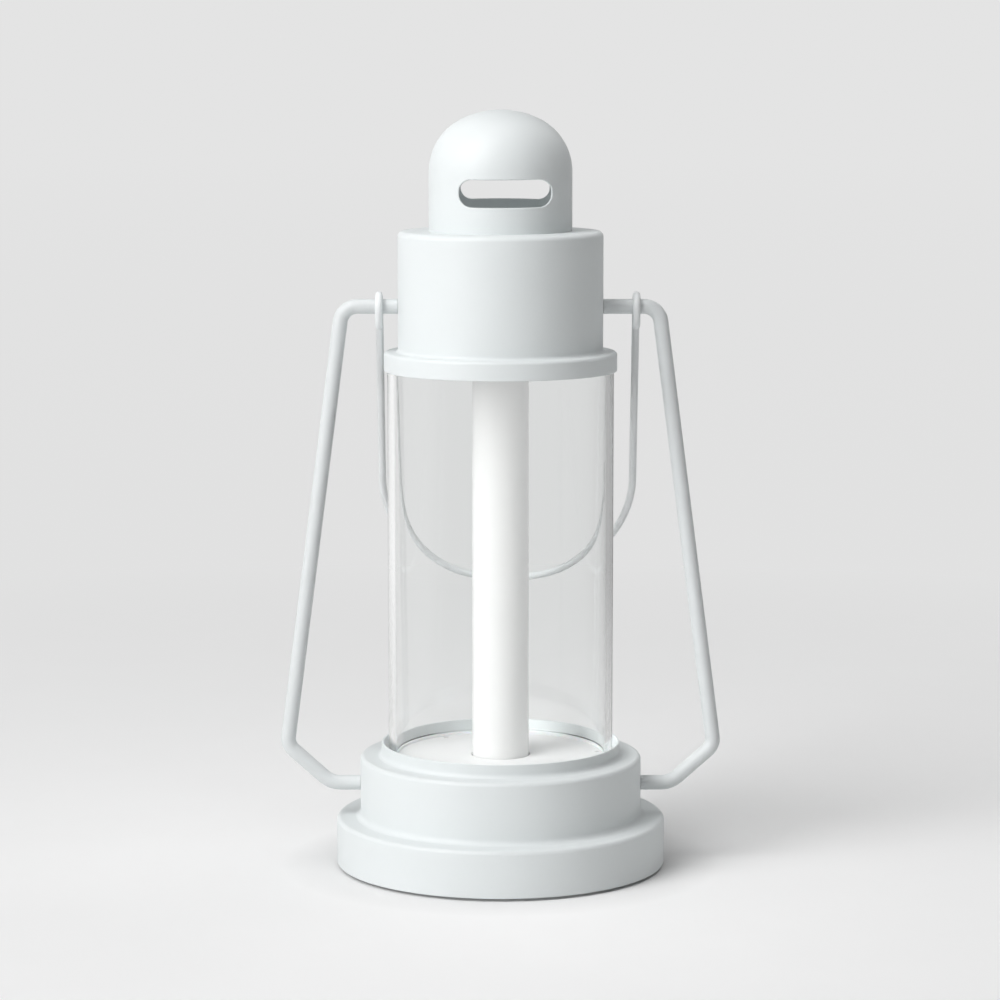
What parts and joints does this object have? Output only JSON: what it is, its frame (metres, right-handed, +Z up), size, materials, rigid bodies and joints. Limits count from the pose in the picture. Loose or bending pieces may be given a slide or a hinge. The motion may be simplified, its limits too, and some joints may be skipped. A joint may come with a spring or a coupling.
{
  "type": "lantern table lamp",
  "caption": "Lantern table lamp: two-tier base, clear glass chimney round an opal light tube, slotted dome top, bent side rods and a swinging wire bail.",
  "frame": {"origin": "on the table under the middle of the lamp, at the rubber pads' lowest face", "axes": "+Z up along the lamp's axis, -Y is the front, +X is the viewer's right"},
  "size_m": [0.156, 0.1164, 0.267],
  "materials": {
    "white_paint": "satin powder coat, very slightly cool white",
    "wire_paint": "satin powder coat on wire",
    "deck_paint": "satin powder coat",
    "clear_glass": "clear, polished, fire-rounded ends",
    "clear_silicone": "translucent, soft sheen",
    "opal_plastic": "opal, smooth",
    "white_plastic": "moulded, fine texture",
    "cover_plastic": "moulded, fine texture",
    "pad_rubber": "matte",
    "zinc_steel": "zinc plated",
    "contact_metal": "nickel plated",
    "cell_jacket": "printed jacket, plain",
    "switch_plastic": "moulded",
    "board_laminate": "solder mask",
    "component_plastic": "moulded",
    "lead_insulation": "PVC sleeve",
    "bare_aluminium": "extruded",
    "strip_laminate": "white solder mask",
    "chip_phosphor": "phosphor lens"
  },
  "bodies": {
    "lamp": {"base_shell": "white_paint", "deck_plate": "deck_paint", "tube_base_socket": "white_plastic", "deck_screws": "zinc_steel", "cover_posts": "zinc_steel", "cover_screws": "zinc_steel", "foot_pads": "pad_rubber", "bottom_cover": "cover_plastic", "aa_cells": "cell_jacket", "button_contacts": "contact_metal", "spring_contacts": "contact_metal", "switch_body": "switch_plastic", "switch_terminals": "contact_metal", "driver_board": "board_laminate", "board_parts": "component_plastic", "board_screws": "zinc_steel", "led_leads": "lead_insulation", "battery_leads": "lead_insulation", "switch_leads": "lead_insulation", "contact_links": "contact_metal", "glass_chimney": "clear_glass", "bottom_sealing_ring": "clear_silicone", "top_sealing_ring": "clear_silicone", "diffuser_tube": "opal_plastic", "lower_core_plug": "white_plastic", "upper_core_plug": "white_plastic", "led_core": "bare_aluminium", "led_strips": "strip_laminate", "led_chips": "chip_phosphor", "top_housing": "white_paint", "ceiling_pan": "deck_paint", "tube_top_socket": "white_plastic", "socket_screws": "zinc_steel", "dome_cap": "white_paint", "dome_screws": "zinc_steel", "left_side_rod": "white_paint", "right_side_rod": "white_paint", "rod_washers": "zinc_steel", "rod_nuts": "zinc_steel"},
    "bail": {"bail_handle": "wire_paint"},
    "battery_door": {"battery_door": "cover_plastic"},
    "switch_knob": {"switch_knob": "switch_plastic"}
  },
  "joints": [
    {"name": "bail_swing", "type": "hinge", "parent": "lamp", "child": "bail", "pos_m": [0.0025, 0, 0.1986], "axis": [1, 0, 0], "range_deg": [0, 315.9]},
    {"name": "door_hinge", "type": "hinge", "parent": "lamp", "child": "battery_door", "pos_m": [0, -0.0267, 0.0029], "axis": [-1, 0, 0], "range_deg": [0, 95]},
    {"name": "switch_slide", "type": "slide", "parent": "lamp", "child": "switch_knob", "axis": [1, 0, 0], "range_m": [0, 0.003]}
  ]
}
